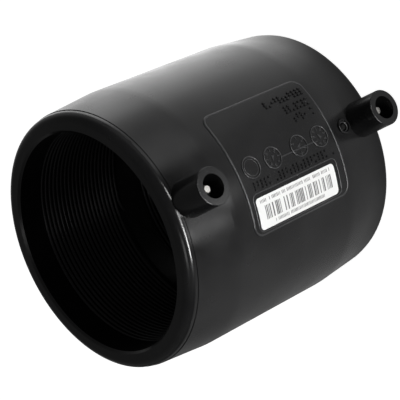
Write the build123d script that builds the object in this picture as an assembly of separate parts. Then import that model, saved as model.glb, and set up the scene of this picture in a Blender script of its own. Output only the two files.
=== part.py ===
from build123d import *
import math
import os

# Electrofusion coupler for 110 mm polyethylene pipe.
# The bore runs along Z, the two pipe ends meet at the origin, and the terminals stand towards -Y.
# "upper" pieces belong to the +Z socket and "lower" pieces to the -Z socket. All sizes are in mm,
# and every "inset" is a depth below the upper face or above the lower one.

# Body
bore_radius = 55.5
body_radius = 67.5
body_length = 143.5
lead_in = 1.1
nose_drop = 2.9
nose_length = 5.4
nose_fillet = 4.5
nose_ledge = 0.3
taper_length = 32.0
taper_blend = 40.0

# Terminal towers, each a shroud round one contact pin
terminal_inset = 12.2
tower_height = 17.0
tower_root_radius = 9.3
tower_top_radius = 9.05
tower_rim_fillet = 0.5
shroud_wall = 3.25
shroud_sink = 1.5

# Contact pins
pin_radius = 2.0
pin_recess = 4.8
pin_tip_chamfer = 0.4
pin_shank_step = 0.5
pin_flange_step = 0.9
pin_flange_thickness = 1.6
pin_root_depth = 3.1

# Fusion indicators
indicator_inset = 26.4
indicator_radius = 1.5
indicator_crown = 0.5
indicator_recess = 0.8
indicator_root_depth = 3.3
well_gap = 1.4
well_depth = 5.5
collar_wall = 0.8
collar_height = 1.2
collar_rim_fillet = 0.3

# Heating wire, a sheathed wire wound in a shallow recess with its crest just under the bore
wire_radius = 0.6
wire_play = 0.05
wire_pitch = 2.55
coil_inset = 14.3
cold_zone = 15.7
lead_angle = 6.0
link_angle = 18.0
link_steps = 6
recess_margin = 0.6
channel_play = 0.25

# Marking panel, laid out by angle round the body from the terminals
panel_upper_inset = 42.0
panel_lower_inset = 35.2
panel_top_angle = 27.0
panel_foot_angle = -26.2
panel_height = 0.4
panel_corner = 5.0
field_upper_margin = 2.8
field_lower_margin = 4.9
field_top_angle = -9.6
field_foot_margin = 0.9
field_depth = 0.3
field_corner = 3.0

# Date rings in two pairs on the panel, and the mark of the mould's gate
ring_margin = 9.2
ring_pair_pitch = 14.75
ring_angle = 0.6
ring_radius = 5.6
ring_width = 0.7
ring_height = 0.25
gate_inset = 21.8
gate_angle = -11.2
gate_radius = 0.7

# Label
label_upper_margin = 1.4
label_lower_margin = 2.4
label_top_margin = 2.0
label_foot_margin = 0.6
label_thickness = 0.15
label_corner = 2.0

# Places that follow from the sizes above
half_length = body_length / 2
wall_anchor = (bore_radius + body_radius) / 2
tower_top = body_radius + tower_height
tower_bore_radius = tower_top_radius - shroud_wall
tower_floor = body_radius - shroud_sink
pin_tip = tower_top - pin_recess
pin_root = bore_radius + pin_root_depth
pin_shank_radius = pin_radius + pin_shank_step
pin_flange_radius = pin_shank_radius + pin_flange_step
collar_top = body_radius + collar_height
well_radius = indicator_radius + well_gap
well_floor = body_radius - well_depth
collar_radius = well_radius + collar_wall
indicator_root = bore_radius + indicator_root_depth
indicator_top = collar_top - indicator_recess
wire_orbit = bore_radius + wire_play + wire_radius
recess_radius = wire_orbit + wire_radius + wire_play
channel_radius = wire_radius + channel_play
coil_start = half_length - coil_inset
coil_end = cold_zone / 2
terminal_place = half_length - terminal_inset
indicator_place = half_length - indicator_inset
panel_radius = body_radius + panel_height
panel_length = body_length - panel_upper_inset - panel_lower_inset
field_radius = panel_radius - field_depth
field_inset = panel_upper_inset + field_upper_margin
field_length = panel_length - field_upper_margin - field_lower_margin
field_foot_angle = panel_foot_angle + field_foot_margin
label_inset = field_inset + label_upper_margin
label_length = field_length - label_upper_margin - label_lower_margin


def radial_plane(distance, height, angle=0):
    """A plane across a radius at this distance from the bore axis, turned from the terminals."""
    turn = math.radians(angle - 90)
    outward = (math.cos(turn), math.sin(turn), 0)
    return Plane(
        origin=(distance * outward[0], distance * outward[1], height),
        x_dir=(-outward[1], outward[0], 0),
        z_dir=outward,
    )


def radial_revolve(points, height):
    """Turns a profile of (radius, distance from the bore axis) points about the terminals' radius."""
    outline = Polyline(*[(radius, -distance, height) for radius, distance in points], close=True)
    return revolve(make_face(outline), axis=Axis((0, 0, height), (0, -1, 0)))


def sleeve():
    """The turned outline of the body: bore, end faces, rounded noses and shallow tapers."""
    nose_radius = body_radius - nose_drop
    upper = [
        (bore_radius, half_length - lead_in),
        (bore_radius + lead_in, half_length),
        (nose_radius, half_length),
        (nose_radius + nose_ledge, half_length - nose_length),
        (nose_radius + 2 * nose_ledge, half_length - nose_length),
        (body_radius, half_length - taper_length),
    ]
    lower = [(radius, -height) for radius, height in reversed(upper)]
    face = make_face(Polyline(*upper, *lower, close=True))
    noses = [v for v in face.vertices() if math.isclose(v.X, nose_radius, abs_tol=nose_ledge / 2)]
    face = fillet(noses, nose_fillet)
    blends = [v for v in face.vertices() if math.isclose(v.X, body_radius, abs_tol=nose_ledge / 2)]
    face = fillet(blends, taper_blend)
    return revolve(Plane.XZ * face, axis=Axis.Z)


def tube_between(inner_radius, outer_radius):
    """A plain tube about the bore axis, as long as the body."""
    return Cylinder(outer_radius, body_length) - Cylinder(inner_radius, body_length)


def curved_pad(inset, length, foot_angle, top_angle, corner, inner_radius, outer_radius):
    """A rounded rectangle on the terminals' side, between two radii about the bore axis."""
    left = body_radius * math.sin(math.radians(foot_angle))
    right = body_radius * math.sin(math.radians(top_angle))
    outline = Pos((left + right) / 2, half_length - inset - length / 2) * RectangleRounded(
        right - left, length, corner
    )
    return extrude(radial_plane(0, 0) * outline, outer_radius) & tube_between(inner_radius, outer_radius)


def date_ring(place):
    """A raised ring round a date insert of the mould."""
    ring = Circle(ring_radius) - Circle(ring_radius - ring_width)
    reach = panel_radius + ring_height
    return extrude(radial_plane(0, place, ring_angle) * ring, reach) & tube_between(body_radius, reach)


def date_ring_places():
    """The rings' places along the bore: one pair near each end of the panel."""
    panel_start = half_length - panel_upper_inset
    panel_stop = panel_start - panel_length
    upper = panel_start - ring_margin
    lower = panel_stop + ring_margin
    return (upper, upper - ring_pair_pitch, lower + ring_pair_pitch, lower)


def terminal_tower(place):
    """The outside of a terminal shroud, slightly drafted, with a rounded rim."""
    tower = radial_plane(wall_anchor, place) * Cone(
        tower_root_radius,
        tower_top_radius,
        tower_top - wall_anchor,
        align=(Align.CENTER, Align.CENTER, Align.MIN),
    )
    rim = tower.edges().filter_by(GeomType.CIRCLE).sort_by(Axis.Y)[0]
    return fillet(rim, tower_rim_fillet)


def shroud_bore(place):
    """The blind bore of a terminal shroud."""
    mouth = tower_top + tower_rim_fillet
    return radial_revolve(
        [(0, tower_floor), (tower_bore_radius, tower_floor), (tower_bore_radius, mouth), (0, mouth)],
        place,
    )


def indicator_collar(place):
    """The low collar round a fusion indicator."""
    collar = radial_plane(well_floor, place) * Cylinder(
        collar_radius, collar_top - well_floor, align=(Align.CENTER, Align.CENTER, Align.MIN)
    )
    rim = collar.edges().filter_by(GeomType.CIRCLE).sort_by(Axis.Y)[0]
    return fillet(rim, collar_rim_fillet)


def indicator_well(place):
    """The stepped well that a fusion indicator rises in."""
    mouth = collar_top + collar_rim_fillet
    return radial_revolve(
        [
            (0, indicator_root),
            (indicator_radius, indicator_root),
            (indicator_radius, well_floor),
            (well_radius, well_floor),
            (well_radius, mouth),
            (0, mouth),
        ],
        place,
    )


def terminal_pin(place):
    """A turned contact pin: flange and shank held in the wall, plain contact above the shroud's floor."""
    flange_top = pin_root + pin_flange_thickness
    return radial_revolve(
        [
            (0, pin_root),
            (pin_flange_radius, pin_root),
            (pin_flange_radius, flange_top),
            (pin_shank_radius, flange_top),
            (pin_shank_radius, tower_floor),
            (pin_radius, tower_floor),
            (pin_radius, pin_tip - pin_tip_chamfer),
            (pin_radius - pin_tip_chamfer, pin_tip),
            (0, pin_tip),
        ],
        place,
    )


def fusion_indicator(place):
    """A polyethylene pin that the melt pushes up in its well."""
    return radial_revolve(
        [
            (0, indicator_root),
            (indicator_radius, indicator_root),
            (indicator_radius, indicator_top - indicator_crown),
            (indicator_radius - indicator_crown, indicator_top),
            (0, indicator_top),
        ],
        place,
    )


def half_turn(shape):
    """The upper end's shape brought to the lower end, by half a turn about the Y axis."""
    return Rot(0, 180, 0) * shape


def on_orbit(azimuth, height):
    """A point of the wire's centre line, at this azimuth in degrees."""
    angle = math.radians(azimuth)
    return (wire_orbit * math.cos(angle), wire_orbit * math.sin(angle), height)


def coil_line():
    """The upper coil's centre line, left-handed, from the link up to the lead."""
    part_turn = (180 - lead_angle - link_angle) / 360
    turns = part_turn + round((coil_start - coil_end) / wire_pitch - part_turn)
    rise = coil_start - coil_end
    helix = Helix(pitch=rise / turns, height=rise, radius=wire_orbit, lefthand=True)
    return Rot(0, 0, 90 - link_angle) * Pos(0, 0, coil_end) * helix


def link_line():
    """The steep crossing between the coils, on the side away from the terminals."""
    steps = [k / link_steps for k in range(-link_steps, link_steps + 1)]
    points = [on_orbit(90 + link_angle * s, -coil_end * (3 * s - s ** 3) / 2) for s in steps]
    return Spline(*points)


def lead_line():
    """The lead that bends from under a pin's flange into the start of the upper coil."""
    line = coil_line()
    return Spline(
        (0, -pin_root, terminal_place),
        line @ 1,
        tangents=[(0, 1, 0), -(line % 1)],
        tangent_scalars=[1, 1],
    )


def heating_wire():
    """One continuous wire: lead, upper coil, link, lower coil, lead."""
    runs = [lead_line(), coil_line(), link_line(), half_turn(coil_line()), half_turn(lead_line())]
    path = Wire([edge for run in runs for edge in run.edges()])
    return sweep(Plane(origin=path @ 0, z_dir=path % 0) * Circle(wire_radius), path=path)


def coil_room():
    """The shallow recess of the upper coil with the pocket of its lead."""
    recess_length = coil_start - coil_end + 2 * (wire_radius + recess_margin)
    recess = Pos(0, 0, (coil_start + coil_end) / 2) * Cylinder(recess_radius, recess_length)
    lead_reach = wire_orbit * math.sin(math.radians(lead_angle)) + channel_radius
    pocket = Pos(-channel_radius, 0, (coil_start + terminal_place) / 2) * Box(
        lead_reach + channel_radius,
        pin_root,
        terminal_place - coil_start + 2 * channel_radius,
        align=(Align.MIN, Align.MAX, Align.CENTER),
    )
    return recess + pocket


def link_channel():
    """The channel that carries the link across the cold zone."""
    link = link_line()
    return sweep(Plane(origin=link @ 0, z_dir=link % 0) * Circle(channel_radius), path=link)


def coupler_body(pins):
    """The moulded body with its towers, collars, panel and winding recesses."""
    places = (terminal_place, -terminal_place)
    body = sleeve()
    for place in places:
        body += terminal_tower(place)
    body += curved_pad(
        panel_upper_inset, panel_length, panel_foot_angle, panel_top_angle, panel_corner,
        wall_anchor, panel_radius,
    )
    body -= curved_pad(
        field_inset, field_length, field_foot_angle, field_top_angle, field_corner,
        field_radius, tower_top,
    )
    for place in date_ring_places():
        body += date_ring(place)
    for place in (indicator_place, -indicator_place):
        body += indicator_collar(place)
        body -= indicator_well(place)
    for place, pin in zip(places, pins):
        body -= shroud_bore(place)
        body -= pin
    body -= radial_plane(body_radius, gate_inset - half_length, gate_angle) * Sphere(gate_radius)
    for room in (coil_room(), half_turn(coil_room()), link_channel()):
        body -= room
    return body


def barcode_label():
    """The thin label lying on the floor of its field."""
    return curved_pad(
        label_inset, label_length, field_foot_angle + label_foot_margin,
        field_top_angle - label_top_margin, label_corner,
        field_radius, field_radius + label_thickness,
    )


pins = [terminal_pin(terminal_place), terminal_pin(-terminal_place)]
pieces = {
    "coupler_body": coupler_body(pins),
    "heating_wire": heating_wire(),
    "terminal_pin_upper": pins[0],
    "terminal_pin_lower": pins[1],
    "fusion_indicator_upper": fusion_indicator(indicator_place),
    "fusion_indicator_lower": fusion_indicator(-indicator_place),
    "barcode_label": barcode_label(),
}

os.makedirs("parts", exist_ok=True)
for node, shape in pieces.items():
    export_step(shape, f"parts/{node}.step")
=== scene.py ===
import math

import bmesh
import bpy
from mathutils import Matrix, Vector


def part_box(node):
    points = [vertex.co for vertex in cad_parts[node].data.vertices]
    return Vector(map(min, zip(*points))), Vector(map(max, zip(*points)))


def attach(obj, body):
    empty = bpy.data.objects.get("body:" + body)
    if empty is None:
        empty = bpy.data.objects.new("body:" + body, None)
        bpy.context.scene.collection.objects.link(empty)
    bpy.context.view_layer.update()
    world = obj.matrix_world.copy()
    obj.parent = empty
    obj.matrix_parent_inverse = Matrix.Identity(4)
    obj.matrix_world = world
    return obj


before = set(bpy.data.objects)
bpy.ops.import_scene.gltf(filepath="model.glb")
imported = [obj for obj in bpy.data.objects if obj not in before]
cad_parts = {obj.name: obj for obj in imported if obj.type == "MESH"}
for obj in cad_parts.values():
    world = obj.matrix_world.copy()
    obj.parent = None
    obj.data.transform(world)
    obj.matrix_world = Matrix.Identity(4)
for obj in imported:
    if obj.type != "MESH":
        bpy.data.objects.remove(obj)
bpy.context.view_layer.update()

MM = 0.001

BODY_LOW, BODY_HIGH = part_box("coupler_body")
HALF_LENGTH = BODY_HIGH.z
BODY_RADIUS = BODY_HIGH.x

# The eye that looks down on the upper mouth, with the contact pins towards it.
EYE = Vector((-7.69, -611.85, 498.62)) * MM
EYE_FORWARD = Vector((0.0068, 0.7759, -0.6308))
EYE_UP = Vector((0.9042, -0.2742, -0.3275))
EYE_LENS = 140.82
EYE_SENSOR = 36.0
EYE_NEAREST = 10.0 * MM


# ---------------------------------------------------------------- shader groups


def new_group(name, inputs, outputs):
    """An empty shader group with named sockets: inputs as (name, default), outputs as (name, type)."""
    group = bpy.data.node_groups.new(name, "ShaderNodeTree")
    group.interface.new_socket("Vector", in_out="INPUT", socket_type="NodeSocketVector")
    for label, value in inputs:
        socket = group.interface.new_socket(label, in_out="INPUT", socket_type="NodeSocketFloat")
        socket.default_value = value
    for label, kind in outputs:
        group.interface.new_socket(label, in_out="OUTPUT", socket_type=kind)
    entry = group.nodes.new("NodeGroupInput")
    leave = group.nodes.new("NodeGroupOutput")
    return group, entry, leave


def add(tree, kind, links=(), **settings):
    """A node with its settings, whose numbered or named inputs are linked or set."""
    node = tree.nodes.new(kind)
    for key, value in settings.items():
        setattr(node, key, value)
    for socket, value in dict(links).items():
        if isinstance(value, bpy.types.NodeSocket):
            tree.links.new(value, node.inputs[socket])
        else:
            node.inputs[socket].default_value = value
    return node


def noise(tree, places, scale, detail):
    """A noise texture over places."""
    texture = add(tree, "ShaderNodeTexNoise", {"Vector": places, "Scale": scale, "Detail": detail})
    return texture.outputs["Fac"]


def ranged(tree, value, first, last, low=0.0, high=1.0):
    """A value moved from the range first to last into the range low to high, and held there."""
    limits = {0: value, 1: first, 2: last, 3: low, 4: high}
    return add(tree, "ShaderNodeMapRange", limits).outputs[0]


def combined(tree, first, second, operation="ADD"):
    """Two numbers put together, added unless said otherwise."""
    return add(tree, "ShaderNodeMath", {0: first, 1: second}, operation=operation).outputs[0]


def two_tone(tree, factor, first, second):
    """One colour where the factor is 0 and another where it is 1."""
    tones = {"Factor": factor, "A": (*first, 1), "B": (*second, 1)}
    return add(tree, "ShaderNodeMix", tones, data_type="RGBA").outputs["Result"]


def blend_by(tree, factor, first, second):
    """The first value where the factor is 0 and the second where it is 1."""
    return add(tree, "ShaderNodeMix", {"Factor": factor, "A": first, "B": second}).outputs["Result"]


def moulding_grain_group():
    """Fine spark-eroded grain over slow swirls, as a height and a mask for gloss."""
    group, entry, leave = new_group(
        "moulding_grain",
        [("Grain Scale", 1500.0), ("Swirl Scale", 60.0), ("Swirl Share", 0.35)],
        [("Height", "NodeSocketFloat"), ("Gloss Mask", "NodeSocketFloat")],
    )
    places = entry.outputs["Vector"]
    grain = noise(group, places, entry.outputs["Grain Scale"], detail=3.0)
    swirl = noise(group, places, entry.outputs["Swirl Scale"], detail=4.0)
    height = blend_by(group, entry.outputs["Swirl Share"], grain, swirl)
    group.links.new(height, leave.inputs["Height"])
    group.links.new(swirl, leave.inputs["Gloss Mask"])
    return group


def handling_dust_group():
    """Sparse pale specks and soft smears of handling dust."""
    group, entry, leave = new_group(
        "handling_dust",
        [("Speck Scale", 900.0), ("Smear Scale", 35.0), ("Amount", 0.5)],
        [("Mask", "NodeSocketFloat")],
    )
    places = entry.outputs["Vector"]
    specks = ranged(group, noise(group, places, entry.outputs["Speck Scale"], detail=2.0), 0.62, 0.75)
    smears = ranged(group, noise(group, places, entry.outputs["Smear Scale"], detail=5.0), 0.45, 0.8)
    both = combined(group, specks, smears, "MAXIMUM")
    shown = combined(group, both, entry.outputs["Amount"], "MULTIPLY")
    group.links.new(shown, leave.inputs["Mask"])
    return group


def place_group(tree, group, vector, **values):
    """A shader group put in a material, fed with places and its own values."""
    node = tree.nodes.new("ShaderNodeGroup")
    node.node_tree = group
    tree.links.new(vector, node.inputs["Vector"])
    for name, value in values.items():
        node.inputs[name.replace("_", " ").title()].default_value = value
    return node


# ------------------------------------------------------------------- materials


def new_material(name):
    """A material with its tree, its Principled BSDF and the object's own places."""
    material = bpy.data.materials.new(name)
    material.use_nodes = True
    tree = material.node_tree
    shader = tree.nodes["Principled BSDF"]
    places = tree.nodes.new("ShaderNodeTexCoord").outputs["Object"]
    return material, tree, shader, places


def roughen(tree, shader, height, strength, depth):
    """Gives a shader a surface that rises and falls by up to a depth."""
    relief = add(tree, "ShaderNodeBump", {"Height": height, "Strength": strength, "Distance": depth})
    tree.links.new(relief.outputs["Normal"], shader.inputs["Normal"])


# Colours are linear, from 0 to 1. The first of a pair is the clean tone and the second the uneven one.
DUST_GREY = (0.12, 0.12, 0.12)
TIN_BRIGHT, TIN_DULL = (0.86, 0.85, 0.82), (0.74, 0.72, 0.67)
FILM_CLEAR, FILM_CLOUDED = (0.74, 0.74, 0.735), (0.70, 0.70, 0.69)
INK_FULL, INK_THIN = (0.05, 0.05, 0.05), (0.16, 0.16, 0.16)
GRAIN_DEPTH = 0.06 * MM
LATHE_DEPTH = 0.02 * MM
TOOTH_DEPTH = 0.02 * MM
LATHE_STRETCH = (60.0, 9000.0, 60.0)
GLOSSIER, DULLER = 0.05, 0.07
POLYETHYLENE_IOR = 1.5
FILM_ROUGHNESS = 0.42
INK_ROUGHNESS = 0.5


def black_polyethylene(name, colour, roughness, dust, bump):
    """Black moulded polyethylene with grain, uneven gloss and a little dust."""
    material, tree, shader, places = new_material(name)
    grain = place_group(tree, MOULDING_GRAIN, places)
    specks = place_group(tree, HANDLING_DUST, places, amount=dust)
    tree.links.new(two_tone(tree, specks.outputs["Mask"], colour, DUST_GREY), shader.inputs["Base Color"])
    swirls = grain.outputs["Gloss Mask"]
    gloss = ranged(tree, swirls, 0.3, 0.7, low=roughness - GLOSSIER, high=roughness + DULLER)
    tree.links.new(gloss, shader.inputs["Roughness"])
    roughen(tree, shader, grain.outputs["Height"], bump, GRAIN_DEPTH)
    shader.inputs["IOR"].default_value = POLYETHYLENE_IOR
    return material


def tinned_brass(name):
    """Tin-plated turned contact with fine lathe rings and dull spots."""
    material, tree, shader, places = new_material(name)
    along = add(tree, "ShaderNodeMapping", {"Vector": places, "Scale": LATHE_STRETCH})
    rings = noise(tree, along.outputs["Vector"], scale=1.0, detail=2.0)
    spots = noise(tree, places, scale=700.0, detail=3.0)
    tree.links.new(two_tone(tree, spots, TIN_BRIGHT, TIN_DULL), shader.inputs["Base Color"])
    gloss = ranged(tree, spots, 0.3, 0.7, low=0.18, high=0.34)
    tree.links.new(gloss, shader.inputs["Roughness"])
    roughen(tree, shader, rings, 0.3, LATHE_DEPTH)
    shader.inputs["Metallic"].default_value = 1.0
    return material


def label_film(name):
    """White label film with a faint tooth and a slightly uneven tone."""
    material, tree, shader, places = new_material(name)
    tooth = noise(tree, places, scale=2500.0, detail=2.0)
    cloud = noise(tree, places, scale=90.0, detail=3.0)
    tree.links.new(two_tone(tree, cloud, FILM_CLEAR, FILM_CLOUDED), shader.inputs["Base Color"])
    roughen(tree, shader, tooth, 0.08, TOOTH_DEPTH)
    shader.inputs["Roughness"].default_value = FILM_ROUGHNESS
    return material


def label_ink(name):
    """Thermal print with slightly uneven blackness."""
    material, tree, shader, places = new_material(name)
    patches = noise(tree, places, scale=1200.0, detail=2.0)
    tree.links.new(two_tone(tree, patches, INK_FULL, INK_THIN), shader.inputs["Base Color"])
    shader.inputs["Roughness"].default_value = INK_ROUGHNESS
    return material


MOULDING_GRAIN = moulding_grain_group()
HANDLING_DUST = handling_dust_group()
BODY_BLACK = black_polyethylene(
    "body_black", (0.0055, 0.0055, 0.0058), roughness=0.21, dust=0.06, bump=0.3,
)
SHEATH_BLACK = black_polyethylene(
    "wire_sheath_black", (0.012, 0.012, 0.013), roughness=0.30, dust=0.02, bump=0.15,
)
INDICATOR_BLACK = black_polyethylene(
    "indicator_black", (0.008, 0.008, 0.008), roughness=0.2, dust=0.05, bump=0.2,
)
# The beads, rings and numbers are a lighter black than the body.
RELIEF_BLACK = black_polyethylene(
    "relief_black", (0.028, 0.028, 0.029), roughness=0.24, dust=0.2, bump=0.15,
)
CONTACT_TIN = tinned_brass("contact_tin")
FILM_WHITE = label_film("label_white")
INK = label_ink("label_ink")


def finish_node(node, material):
    """Gives a CAD node its material."""
    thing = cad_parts[node]
    thing.data.materials.clear()
    thing.data.materials.append(material)


for node, material in {
    "coupler_body": BODY_BLACK,
    "heating_wire": SHEATH_BLACK,
    "terminal_pin_upper": CONTACT_TIN,
    "terminal_pin_lower": CONTACT_TIN,
    "fusion_indicator_upper": INDICATOR_BLACK,
    "fusion_indicator_lower": INDICATOR_BLACK,
    "barcode_label": FILM_WHITE,
}.items():
    finish_node(node, material)


# ------------------------------------------------------- marks round the body

# Sizes of the panel, its label field and its four dials. Angles are in degrees round from the terminals.
PANEL_HEIGHT = 0.4 * MM
PANEL_RADIUS = BODY_RADIUS + PANEL_HEIGHT
PANEL_UPPER, PANEL_LOWER = HALF_LENGTH - 42.0 * MM, -HALF_LENGTH + 35.2 * MM
PANEL_TOP_ANGLE, PANEL_FOOT_ANGLE = 27.0, -26.2
PANEL_CORNER = 5.0 * MM
FIELD_UPPER, FIELD_LOWER = PANEL_UPPER - 2.8 * MM, PANEL_LOWER + 4.9 * MM
FIELD_TOP_ANGLE, FIELD_FOOT_ANGLE = -9.6, -25.3
FIELD_DEPTH = 0.3 * MM
FIELD_CORNER = 3.0 * MM
DIAL_MARGIN = 9.2 * MM
DIAL_PAIR_PITCH = 14.75 * MM
DIAL_PLACES = [
    PANEL_UPPER - DIAL_MARGIN, PANEL_UPPER - DIAL_MARGIN - DIAL_PAIR_PITCH,
    PANEL_LOWER + DIAL_MARGIN + DIAL_PAIR_PITCH, PANEL_LOWER + DIAL_MARGIN,
]
DIAL_ANGLE = 0.6
DIAL_RADIUS = 5.25 * MM
LABEL_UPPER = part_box("barcode_label")[1].z
LABEL_THICKNESS = 0.15 * MM
LABEL_RADIUS = PANEL_RADIUS - FIELD_DEPTH + LABEL_THICKNESS
INDICATORS = ("fusion_indicator_upper", "fusion_indicator_lower")

# Beads: their radius, and how far their middle is sunk under the surface or raised over it.
PANEL_BEAD, PANEL_BEAD_SUNK = 0.7 * MM, 0.42 * MM
FIELD_BEAD, FIELD_BEAD_SUNK = 0.4 * MM, 0.2 * MM
EDGE_FLATNESS = 0.8
EDGE_INSET = 0.1 * MM
DIAL_BEAD, DIAL_BEAD_RAISED = 0.34 * MM, 0.12 * MM
FINE_BEAD = 0.2 * MM
INNER_RING_GAP = 1.2 * MM
RIM_BEAD, RIM_GAP = 0.3 * MM, 0.9 * MM
RULE_DROP_ANGLE = 1.2
RULE_BREADTH, RULE_CORNER = 0.3 * MM, 0.12 * MM

# Rows of raised dashes: angle, middle below the upper face, columns, seed.
MOULDED_ROWS = (
    (21.4, 92.5 * MM, 11, 11),
    (16.1, 96.75 * MM, 7, 21),
    (11.4, 97.5 * MM, 6, 31),
    (-6.9, 76.5 * MM, 23, 41),
)
MOULDED_DASHES = {
    "pitch": 2.5 * MM, "tiers": 3, "rise": 1.5 * MM, "dash_height": 0.95 * MM, "dash_width": 1.8 * MM,
    "narrowest": 0.7, "proud": 1.2 * MM, "gap_share": 0.08, "drop_share": 0.18,
}
DASH_BEVEL = 0.1 * MM

# Printed rows: angle, middle below the label's upper edge, columns, share of columns left out, seed.
BARS = {"pitch": 1.0 * MM, "dash_height": 6.8 * MM, "dash_width": 0.85 * MM, "narrowest": 0.4}
TICKS = {"pitch": 0.88 * MM, "dash_height": 1.6 * MM, "dash_width": 0.5 * MM, "narrowest": 0.6}
PRINTED_ROWS = (
    ("bars", BARS, -18.2, 27.4 * MM, 48, 0.2, 5),
    ("heading", TICKS, -13.3, 27.0 * MM, 56, 0.14, 31),
    ("count_row", TICKS, -22.7, 27.4 * MM, 40, 0.04, 57),
)
INK_PROUD = 0.03 * MM
INK_STEPS = 4

# The three numbered dials: how many numbers each has, and where its pointer points, in degrees.
DIAL_COUNTS = (8, 6, 9)
DIAL_POINTERS = (250, 40, 120)
NUMBER_SIZE = 2.5 * MM
NUMBER_PROUD = 0.12 * MM
NUMBER_EDGE = 0.04 * MM
NUMBER_MARGIN = 1.55 * MM

# A pointer's tip and its two tail corners, which are swung off the tip by an angle in radians.
POINTER_REACH, POINTER_TAIL, POINTER_SWING = 1.9 * MM, 1.3 * MM, 2.5
POINTER_FOOT, POINTER_TOP = -0.05 * MM, 0.28 * MM

# How finely a bead follows its curve, its corners and its own round section.
BEAD_STEP = 0.6 * MM
CORNER_STEPS = 12
BEAD_SIDES = 12

# Inputs that every form shares: the radius it lies on, its angle in radians and its place along the bore.
BODY_PLACE = [("Radius", "Float", 68.0 * MM), ("Angle", "Float", 0.0), ("Place", "Float", 0.0)]


def new_form_tree(name, inputs):
    """An empty Geometry Nodes tree with named inputs, as (name, kind, default)."""
    tree = bpy.data.node_groups.new(name, "GeometryNodeTree")
    for label, kind, value in inputs:
        socket = tree.interface.new_socket(label, in_out="INPUT", socket_type="NodeSocket" + kind)
        if value is not None:
            socket.default_value = value
    tree.interface.new_socket("Geometry", in_out="OUTPUT", socket_type="NodeSocketGeometry")
    return tree, tree.nodes.new("NodeGroupInput").outputs, tree.nodes.new("NodeGroupOutput").inputs


def round_the_body_tree():
    """Bends flat work round the bore axis: X is height off the radius, Y runs round and Z along."""
    shape = [("Geometry", "Geometry", None)]
    tree, given, result = new_form_tree("round_the_body", shape + BODY_PLACE)
    flat = add(tree, "ShaderNodeSeparateXYZ", {0: tree.nodes.new("GeometryNodeInputPosition").outputs[0]})
    sweep = combined(tree, flat.outputs["Y"], given["Radius"], "DIVIDE")
    turn = combined(tree, sweep, given["Angle"])
    reach = combined(tree, flat.outputs["X"], given["Radius"])
    across = combined(tree, reach, combined(tree, turn, 0.0, "SINE"), "MULTIPLY")
    outward = combined(tree, reach, combined(tree, turn, 0.0, "COSINE"), "MULTIPLY")
    forward = combined(tree, outward, -1.0, "MULTIPLY")
    along = combined(tree, flat.outputs["Z"], given["Place"])
    place = add(tree, "ShaderNodeCombineXYZ", {"X": across, "Y": forward, "Z": along})
    moved = add(
        tree, "GeometryNodeSetPosition", {"Geometry": given["Geometry"], "Position": place.outputs[0]},
    )
    tree.links.new(moved.outputs[0], result[0])
    return tree


def bent_round(tree, geometry, given):
    """Work bent round the body at this tree's radius, angle and place."""
    bend = tree.nodes.new("GeometryNodeGroup")
    bend.node_tree = ROUND_THE_BODY
    tree.links.new(geometry, bend.inputs["Geometry"])
    for name in ("Radius", "Angle", "Place"):
        tree.links.new(given[name], bend.inputs[name])
    return bend.outputs[0]


def dash_field_tree():
    """Columns of separate dashes, some left out, that stand for a line of marks."""
    tree, given, result = new_form_tree(
        "dash_field",
        BODY_PLACE + [
            ("Columns", "Int", 40), ("Pitch", "Float", 1.0 * MM),
            ("Tiers", "Int", 1), ("Rise", "Float", 1.0 * MM),
            ("Dash Height", "Float", 3.5 * MM), ("Dash Width", "Float", 0.5 * MM),
            ("Narrowest", "Float", 1.0), ("Proud", "Float", 0.3 * MM),
            ("Gap Share", "Float", 0.12), ("Drop Share", "Float", 0.0),
            ("Seed", "Int", 1), ("Steps", "Int", 2), ("Material", "Material", None),
        ],
    )

    def centred_line(count, spacing, axis):
        """A line of points with its middle at the origin."""
        span = combined(tree, combined(tree, count, -1.0), spacing, "MULTIPLY")
        begin = add(tree, "ShaderNodeCombineXYZ", {axis: combined(tree, span, -0.5, "MULTIPLY")})
        step = add(tree, "ShaderNodeCombineXYZ", {axis: spacing})
        line = {"Count": count, "Start Location": begin.outputs[0], "Offset": step.outputs[0]}
        return add(tree, "GeometryNodeMeshLine", line).outputs[0]

    def thinned(points, share, seed):
        """The points with a share of them left out."""
        lost = add(tree, "FunctionNodeRandomValue", {"Probability": share, "Seed": seed}, data_type="BOOLEAN")
        loss = {"Geometry": points, "Selection": lost.outputs[3]}
        return add(tree, "GeometryNodeDeleteGeometry", loss, domain="POINT").outputs[0]

    columns = thinned(centred_line(given["Columns"], given["Pitch"], "Z"), given["Gap Share"], given["Seed"])
    tiers = centred_line(given["Tiers"], given["Rise"], "Y")
    crossed = add(tree, "GeometryNodeInstanceOnPoints", {"Points": columns, "Instance": tiers})
    points = add(tree, "GeometryNodeRealizeInstances", {0: crossed.outputs[0]})
    kept = thinned(points.outputs[0], given["Drop Share"], combined(tree, given["Seed"], 1.0))
    sizes = {"X": given["Proud"], "Y": given["Dash Height"], "Z": given["Dash Width"]}
    size = add(tree, "ShaderNodeCombineXYZ", sizes)
    block = add(
        tree, "GeometryNodeMeshCube",
        {"Size": size.outputs[0], "Vertices X": 2, "Vertices Y": given["Steps"], "Vertices Z": 2},
    )
    widths = {2: given["Narrowest"], 3: 1.0, "Seed": combined(tree, given["Seed"], 2.0)}
    width = add(tree, "FunctionNodeRandomValue", widths, data_type="FLOAT")
    stretch = add(tree, "ShaderNodeCombineXYZ", {"X": 1.0, "Y": 1.0, "Z": width.outputs[1]})
    placed = add(
        tree, "GeometryNodeInstanceOnPoints",
        {"Points": kept, "Instance": block.outputs[0], "Scale": stretch.outputs[0]},
    )
    solid = add(tree, "GeometryNodeRealizeInstances", {0: placed.outputs[0]})
    bent = bent_round(tree, solid.outputs[0], given)
    coloured = add(tree, "GeometryNodeSetMaterial", {"Geometry": bent, "Material": given["Material"]})
    tree.links.new(coloured.outputs[0], result[0])
    return tree


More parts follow.
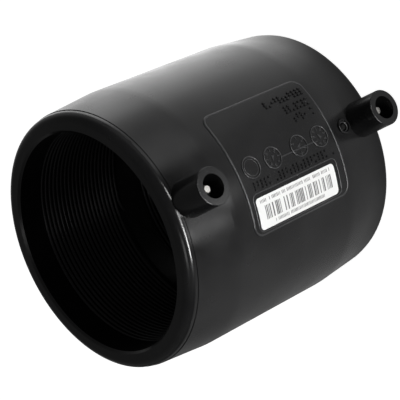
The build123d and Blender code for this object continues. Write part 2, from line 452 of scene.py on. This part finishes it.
def bead_frame_tree():
    """A half-sunk bead that runs round a rectangle with rounded corners, or round a ring."""
    tree, given, result = new_form_tree(
        "bead_frame",
        BODY_PLACE + [
            ("Length", "Float", 60.0 * MM), ("Breadth", "Float", 30.0 * MM), ("Corner", "Float", 5.0 * MM),
            ("Bead", "Float", 0.3 * MM), ("Flatness", "Float", 1.0), ("Material", "Material", None),
        ],
    )
    sides = {"Width": given["Length"], "Height": given["Breadth"]}
    outline = add(tree, "GeometryNodeCurvePrimitiveQuadrilateral", sides)
    corners = {
        "Curve": outline.outputs[0], "Radius": given["Corner"], "Limit Radius": True, "Count": CORNER_STEPS,
    }
    rounded = add(tree, "GeometryNodeFilletCurve", corners, mode="POLY")
    spacing = {"Curve": rounded.outputs[0], "Length": BEAD_STEP}
    fine = add(tree, "GeometryNodeResampleCurve", spacing, mode="LENGTH")
    quarter_turn = {"Geometry": fine.outputs[0], "Rotation": (0.0, math.pi / 2, 0.0)}
    upright = add(tree, "GeometryNodeTransform", quarter_turn)
    circle = {"Resolution": BEAD_SIDES, "Radius": given["Bead"]}
    section = add(tree, "GeometryNodeCurvePrimitiveCircle", circle)
    path = {"Curve": upright.outputs[0], "Profile Curve": section.outputs[0]}
    bead = add(tree, "GeometryNodeCurveToMesh", path)
    pressed = add(tree, "ShaderNodeCombineXYZ", {"X": given["Flatness"], "Y": 1.0, "Z": 1.0})
    flat = add(tree, "GeometryNodeTransform", {"Geometry": bead.outputs[0], "Scale": pressed.outputs[0]})
    bent = bent_round(tree, flat.outputs[0], given)
    solid = add(tree, "GeometryNodeRealizeInstances", {0: bent})
    smooth = add(tree, "GeometryNodeSetShadeSmooth", {"Geometry": solid.outputs[0]})
    finish = {"Geometry": smooth.outputs[0], "Material": given["Material"]}
    coloured = add(tree, "GeometryNodeSetMaterial", finish)
    tree.links.new(coloured.outputs[0], result[0])
    return tree


ROUND_THE_BODY = round_the_body_tree()
DASH_FIELD = dash_field_tree()
BEAD_FRAME = bead_frame_tree()


def grown(name, tree, bevel=0.0, **values):
    """The plain mesh that a Geometry Nodes tree gives with these inputs."""
    thing = bpy.data.objects.new(name, bpy.data.meshes.new(name))
    bpy.context.scene.collection.objects.link(thing)
    grow = thing.modifiers.new("grow", "NODES")
    grow.node_group = tree
    sockets = {item.name: item.identifier for item in tree.interface.items_tree if item.in_out == "INPUT"}
    for label, value in values.items():
        grow[sockets[label.replace("_", " ").title()]] = value
    if bevel:
        edge = thing.modifiers.new("edge", "BEVEL")
        edge.width = bevel
        edge.segments = 1
        edge.limit_method = "ANGLE"
    ready = thing.evaluated_get(bpy.context.evaluated_depsgraph_get())
    mesh = bpy.data.meshes.new_from_object(ready)
    bpy.data.objects.remove(thing)
    return mesh


def piece_from(work, name, material):
    """Turns bmesh work into one piece of one material that rides with the body."""
    for face in work.faces:
        face.material_index = 0
    data = bpy.data.meshes.new(name)
    work.to_mesh(data)
    work.free()
    data.materials.append(material)
    thing = bpy.data.objects.new(name, data)
    bpy.context.scene.collection.objects.link(thing)
    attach(thing, "root")
    return thing


def settled(name, meshes, material):
    """One piece on the body made of several plain meshes."""
    joined = bmesh.new()
    for mesh in meshes:
        joined.from_mesh(mesh)
    return piece_from(joined, name, material)


def moulded_rows():
    """Rows of raised dashes on the panel, three short and one long."""
    rows = []
    for angle, below, columns, seed in MOULDED_ROWS:
        rows.append(grown(
            "row", DASH_FIELD, DASH_BEVEL, radius=PANEL_RADIUS, angle=math.radians(angle),
            place=HALF_LENGTH - below, columns=columns, seed=seed, material=BODY_BLACK, **MOULDED_DASHES,
        ))
    return settled("moulded_rows", rows, BODY_BLACK)


def edge_bead(upper, lower, top_angle, foot_angle, corner, bead, sunk):
    """A pressed bead along the edge of the panel or of the field in it."""
    return grown(
        "frame", BEAD_FRAME, radius=PANEL_RADIUS - sunk, angle=math.radians((top_angle + foot_angle) / 2),
        place=(upper + lower) / 2, length=upper - lower - 2 * EDGE_INSET,
        breadth=math.radians(top_angle - foot_angle) * PANEL_RADIUS - 2 * EDGE_INSET, corner=corner,
        bead=bead, flatness=EDGE_FLATNESS, material=RELIEF_BLACK,
    )


def ring_bead(name, radius, angle, place, reach, bead):
    """A round bead in a ring: where it lies, how far it reaches from its middle, and its own radius."""
    return grown(
        name, BEAD_FRAME, radius=radius, angle=angle, place=place, length=2 * reach, breadth=2 * reach,
        corner=reach, bead=bead, material=RELIEF_BLACK,
    )


def bead_frames():
    """Beads along the panel's edges, round its dials and round the indicators, and one straight rule."""
    frames = [
        edge_bead(
            PANEL_UPPER, PANEL_LOWER, PANEL_TOP_ANGLE, PANEL_FOOT_ANGLE, PANEL_CORNER, PANEL_BEAD,
            PANEL_BEAD_SUNK,
        ),
        edge_bead(
            FIELD_UPPER, FIELD_LOWER, FIELD_TOP_ANGLE, FIELD_FOOT_ANGLE, FIELD_CORNER, FIELD_BEAD,
            FIELD_BEAD_SUNK,
        ),
    ]
    dial_turn = math.radians(DIAL_ANGLE)
    dial_surface = PANEL_RADIUS + DIAL_BEAD_RAISED
    for place in DIAL_PLACES:
        frames.append(ring_bead("dial", dial_surface, dial_turn, place, DIAL_RADIUS, DIAL_BEAD))
    inner = DIAL_RADIUS - INNER_RING_GAP
    frames.append(ring_bead("dial", PANEL_RADIUS, dial_turn, DIAL_PLACES[0], inner, FINE_BEAD))
    for name in INDICATORS:
        low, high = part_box(name)
        middle = (low + high) / 2
        rim = (high.z - low.z) / 2 + RIM_GAP
        turn = math.atan2(middle.x, -middle.y)
        frames.append(ring_bead("rim", BODY_RADIUS, turn, middle.z, rim, RIM_BEAD))
    span = DIAL_PLACES[1] - DIAL_PLACES[3] - 2 * DIAL_RADIUS
    frames.append(grown(
        "rule", BEAD_FRAME, radius=PANEL_RADIUS, angle=math.radians(DIAL_ANGLE - RULE_DROP_ANGLE),
        place=(DIAL_PLACES[1] + DIAL_PLACES[3]) / 2, length=span, breadth=RULE_BREADTH, corner=RULE_CORNER,
        bead=FINE_BEAD, material=RELIEF_BLACK,
    ))
    return settled("bead_frames", frames, RELIEF_BLACK)


def over_the_dials(place, sweep, rise):
    """A point at the dials' angle: its place along the bore, its way round, and its rise off the panel."""
    turn = math.radians(DIAL_ANGLE) + sweep / PANEL_RADIUS
    reach = PANEL_RADIUS + rise
    return Vector((reach * math.sin(turn), -reach * math.cos(turn), place))


def numeral(number):
    """The mesh of a plain raised number, centred, reading along X."""
    curve = bpy.data.curves.new("numeral", "FONT")
    curve.body = str(number)
    curve.size = NUMBER_SIZE
    curve.extrude = NUMBER_PROUD
    curve.bevel_depth = NUMBER_EDGE
    curve.resolution_u = 2
    curve.align_x = "CENTER"
    curve.align_y = "CENTER"
    thing = bpy.data.objects.new("numeral", curve)
    bpy.context.scene.collection.objects.link(thing)
    mesh = bpy.data.meshes.new_from_object(thing.evaluated_get(bpy.context.evaluated_depsgraph_get()))
    bpy.data.objects.remove(thing)
    return mesh


def add_pointer(work, place, turn):
    """Adds the three-cornered pointer of the dial at a place to bmesh work."""
    corners = []
    for reach, swing in (
        (POINTER_REACH, 0.0), (POINTER_TAIL, POINTER_SWING), (POINTER_TAIL, -POINTER_SWING),
    ):
        corners.append((reach * math.cos(turn + swing), reach * math.sin(turn + swing)))
    low = [work.verts.new(over_the_dials(place - x, y, POINTER_FOOT)) for x, y in corners]
    high = [work.verts.new(over_the_dials(place - x, y, POINTER_TOP)) for x, y in corners]
    work.faces.new(high)
    work.faces.new(low[::-1])
    for k in range(3):
        work.faces.new((low[k], low[(k + 1) % 3], high[(k + 1) % 3], high[k]))


def dial_numbers():
    """Plain numbers round three dials, each with a pointer in the middle."""
    whole = bmesh.new()
    ring = DIAL_RADIUS - NUMBER_MARGIN
    for place, count, pointer in zip(DIAL_PLACES[1:], DIAL_COUNTS, DIAL_POINTERS):
        for k in range(count):
            turn = math.radians(90 - 360 * k / count)
            mesh = numeral(k + 1)
            spin = Matrix.Rotation(turn - math.pi / 2, 4, "Z")
            mesh.transform(Matrix.Translation((ring * math.cos(turn), ring * math.sin(turn), 0)) @ spin)
            for vertex in mesh.vertices:
                x, y, rise = vertex.co
                vertex.co = over_the_dials(place - x, y, rise + NUMBER_PROUD)
            whole.from_mesh(mesh)
        add_pointer(whole, place, math.radians(pointer))
    bmesh.ops.recalc_face_normals(whole, faces=whole.faces)
    return piece_from(whole, "dial_numbers", RELIEF_BLACK)


def label_print():
    """The field of bars and the two rows of small ticks on the label."""
    rows = []
    for name, dashes, angle, below, columns, gap_share, seed in PRINTED_ROWS:
        rows.append(grown(
            name, DASH_FIELD, radius=LABEL_RADIUS, angle=math.radians(angle), place=LABEL_UPPER - below,
            columns=columns, gap_share=gap_share, seed=seed, proud=INK_PROUD, steps=INK_STEPS,
            material=INK, **dashes,
        ))
    return settled("label_print", rows, INK)


moulded_rows()
bead_frames()
dial_numbers()
label_print()


# ------------------------------------------------------------- floor and light


def eye_matrix():
    """The camera's turn and place."""
    back = -EYE_FORWARD.normalized()
    right = EYE_UP.cross(back).normalized()
    up = back.cross(right)
    turn = Matrix((right, up, back)).transposed().to_4x4()
    return Matrix.Translation(EYE) @ turn


def make_camera():
    """The camera at the view that shows mouth, panel and both terminals."""
    data = bpy.data.cameras.new("eye")
    data.lens = EYE_LENS
    data.sensor_width = EYE_SENSOR
    data.clip_start = EYE_NEAREST
    camera = bpy.data.objects.new("eye", data)
    camera.matrix_world = eye_matrix()
    bpy.context.scene.collection.objects.link(camera)
    bpy.context.scene.camera = camera
    return camera


def softbox(name, place, width, height, power):
    """A soft rectangular lamp at a place, turned to the middle of the part."""
    data = bpy.data.lights.new(name, "AREA")
    data.shape = "RECTANGLE"
    data.size = width
    data.size_y = height
    data.energy = power
    lamp = bpy.data.objects.new(name, data)
    lamp.location = place
    lamp.rotation_mode = "QUATERNION"
    lamp.rotation_quaternion = (PART_MIDDLE - place).to_track_quat("-Z", "Y")
    lamp.visible_camera = False
    bpy.context.scene.collection.objects.link(lamp)
    return lamp


# Strengths of the plain light, with white as 1.
FLOOR_LIFT = 0.9
ROOM_GLOW = 0.09
ROOM_FILL = 0.06
WHITE = (1, 1, 1, 1)

FLOOR_HALF = 6.0
FLOOR_PALE = (0.9, 0.9, 0.9, 1)
FLOOR_ROUGHNESS = 0.9

# Lamps: name, place, width and height in metres, power in watts.
PART_MIDDLE = Vector((0, 0, 0))
LAMPS = (
    ("front_box", Vector((-0.5, -0.95, 0.0)), 0.5, 0.12, 8.0),
    ("side_box", Vector((0.0, -1.07, 0.0)), 0.55, 0.12, 4.0),
    ("top_box", Vector((0.3, 0.5, 1.5)), 1.0, 1.0, 4.0),
    ("mouth_box", Vector((-0.45, -0.5, 0.75)), 0.3, 0.3, 0.5),
)


def grey_ramp(tree, value, points):
    """A smooth grey ramp over a value: points as (value, strength)."""
    first, last = points[0][0], points[-1][0]
    share = ranged(tree, value, first, last)
    curve = add(tree, "ShaderNodeFloatCurve", {"Value": share})
    top = max(strength for _, strength in points)
    handles = curve.mapping.curves[0].points
    places = [((place - first) / (last - first), strength / top) for place, strength in points]
    handles[0].location, handles[1].location = places[0], places[-1]
    for place in places[1:-1]:
        handles.new(*place)
    curve.mapping.update()
    return combined(tree, curve.outputs[0], top, "MULTIPLY")


# A painted reflection on the floor, which only the gloss of the black plastic finds there: a bright window
# side, a dim room side, a fade far off, two painted patches of light and painted shade under the mouth;
# places in metres, strengths with white as 1.
PAINTED_WINDOW_LEAN = (1.0, 0.4, 0.0)
PAINTED_WINDOW_SIDE = [(-0.02, 0.0), (0.01, 0.1), (0.035, 0.6), (0.06, 1.0), (0.1, 1.0)]
PAINTED_WINDOW_DEPTH = [
    (-0.27, 0.95), (-0.2, 0.72), (-0.14, 0.5), (-0.07, 0.78), (-0.03, 1.3), (0.03, 1.6), (0.12, 1.15),
]
PAINTED_FAR_FADE = [(0.38, 1.0), (0.5, 0.25)]
PAINTED_ROOM_DEPTH = [(-0.27, 0.12), (-0.20, 0.24), (-0.10, 0.34), (0.00, 0.30), (0.08, 0.2), (0.2, 0.16)]
# Two painted patches of light on the floor, seen only in the part's gloss.
PAINTED_SHEET_PLACE = Vector((-0.035, -0.245, BODY_LOW.z))
PAINTED_SHEET_SPREAD = [(0.0, 4.5), (0.015, 3.8), (0.035, 1.0), (0.055, 0.15), (0.08, 0.0)]
PAINTED_SIDE_SHEET_PLACE = Vector((-0.125, -0.288, BODY_LOW.z))
PAINTED_SIDE_SHEET_SPREAD = [(0.0, 4.8), (0.02, 3.8), (0.035, 1.4), (0.05, 0.35), (0.08, 0.0)]
# Painted shade on the floor under the mouth, seen only in the part's gloss.
PAINTED_MOUTH_SHADE = [(0.050, 0.03), (0.062, 0.35), (0.075, 1.0)]

# What it finds in the surround: strengths over how far a reflection points to +X, and how far up.
ROOM_SIDE = [(-1.0, 0.0), (0.0, 0.1), (1.0, 0.3)]
ROOM_LOW = [(0.0, 0.9), (0.2, 0.3), (0.4, 0.0)]


def lit_sheet(tree, places, middle, spread):
    """A soft round patch of painted light about a place on the floor."""
    away = add(tree, "ShaderNodeVectorMath", {0: places, 1: middle}, operation="DISTANCE")
    return grey_ramp(tree, away.outputs["Value"], spread)


def floor_glow(tree, places):
    """The floor's painted reflection: a bright window side, a dim room side, two painted patches of light in
    front, painted shade under the mouth and a fade far off.
    """
    lean = add(tree, "ShaderNodeVectorMath", {0: places, 1: PAINTED_WINDOW_LEAN}, operation="DOT_PRODUCT")
    side = grey_ramp(tree, lean.outputs["Value"], PAINTED_WINDOW_SIDE)
    depth = add(tree, "ShaderNodeSeparateXYZ", {"Vector": places}).outputs["Y"]
    sweep = blend_by(tree, side, grey_ramp(tree, depth, PAINTED_ROOM_DEPTH), grey_ramp(tree, depth, PAINTED_WINDOW_DEPTH))
    painted_front_patch = lit_sheet(tree, places, PAINTED_SHEET_PLACE, PAINTED_SHEET_SPREAD)
    painted_side_patch = lit_sheet(tree, places, PAINTED_SIDE_SHEET_PLACE, PAINTED_SIDE_SHEET_SPREAD)
    painted_light = combined(tree, sweep, combined(tree, painted_front_patch, painted_side_patch))
    flat = add(tree, "ShaderNodeVectorMath", {0: places, 1: (1, 1, 0)}, operation="MULTIPLY")
    reach = add(tree, "ShaderNodeVectorMath", {0: flat.outputs["Vector"]}, operation="LENGTH")
    painted_shade_under_mouth = grey_ramp(tree, reach.outputs["Value"], PAINTED_MOUTH_SHADE)
    painted_fade = grey_ramp(tree, reach.outputs["Value"], PAINTED_FAR_FADE)
    return combined(tree, combined(tree, painted_light, painted_shade_under_mouth, "MULTIPLY"), painted_fade, "MULTIPLY")


def chosen(tree, question, no, yes):
    """One shader for the rays that answer no to a question and another for those that answer yes."""
    return add(tree, "ShaderNodeMixShader", {0: question, 1: no, 2: yes}).outputs[0]


def make_floor():
    """A pale floor under the lower face: near white to the eye, and to the part's gloss a painted reflection
    that glows though it is no lamp.
    """
    mesh = bmesh.new()
    bmesh.ops.create_grid(mesh, x_segments=1, y_segments=1, size=FLOOR_HALF)
    data = bpy.data.meshes.new("floor")
    mesh.to_mesh(data)
    mesh.free()
    data.transform(Matrix.Translation((0, 0, BODY_LOW.z)))
    floor = bpy.data.objects.new("floor", data)
    bpy.context.scene.collection.objects.link(floor)
    material = bpy.data.materials.new("floor_white")
    material.use_nodes = True
    tree = material.node_tree
    plain = tree.nodes["Principled BSDF"]
    plain.inputs["Base Color"].default_value = FLOOR_PALE
    plain.inputs["Roughness"].default_value = FLOOR_ROUGHNESS
    places = tree.nodes.new("ShaderNodeTexCoord").outputs["Object"]
    path = tree.nodes.new("ShaderNodeLightPath")
    lift = add(tree, "ShaderNodeEmission", {"Color": WHITE, "Strength": FLOOR_LIFT})
    seen = add(tree, "ShaderNodeAddShader", {0: plain.outputs[0], 1: lift.outputs[0]})
    # Glossy rays see this emission in place of the lit floor: a painted reflection.
    painted_reflection = add(tree, "ShaderNodeEmission", {"Color": WHITE, "Strength": floor_glow(tree, places)})
    painted_reflection_in_gloss = chosen(tree, path.outputs["Is Glossy Ray"], plain.outputs[0], painted_reflection.outputs[0])
    mixed = chosen(tree, path.outputs["Is Camera Ray"], painted_reflection_in_gloss, seen.outputs[0])
    tree.links.new(mixed, tree.nodes["Material Output"].inputs["Surface"])
    data.materials.append(material)


def make_world():
    """A surround that is white to the eye, an even dim fill, and in gloss a room brighter low down at +X."""
    world = bpy.data.worlds.new("surround")
    bpy.context.scene.world = world
    world.use_nodes = True
    tree = world.node_tree
    path = tree.nodes.new("ShaderNodeLightPath")
    direction = tree.nodes.new("ShaderNodeTexCoord").outputs["Generated"]
    toward = add(tree, "ShaderNodeSeparateXYZ", {"Vector": direction})
    side = grey_ramp(tree, toward.outputs["X"], ROOM_SIDE)
    low = grey_ramp(tree, toward.outputs["Z"], ROOM_LOW)
    glow = combined(tree, combined(tree, side, low, "MULTIPLY"), ROOM_GLOW)
    soft = blend_by(tree, path.outputs["Is Glossy Ray"], ROOM_FILL, glow)
    sky = tree.nodes["Background"]
    sky.inputs["Color"].default_value = WHITE
    tree.links.new(blend_by(tree, path.outputs["Is Camera Ray"], soft, 1.0), sky.inputs["Strength"])


make_camera()
make_floor()
make_world()
for lamp in LAMPS:
    softbox(*lamp)
bpy.data.objects["top_box"].visible_glossy = False

bpy.context.scene.view_settings.view_transform = "Standard"
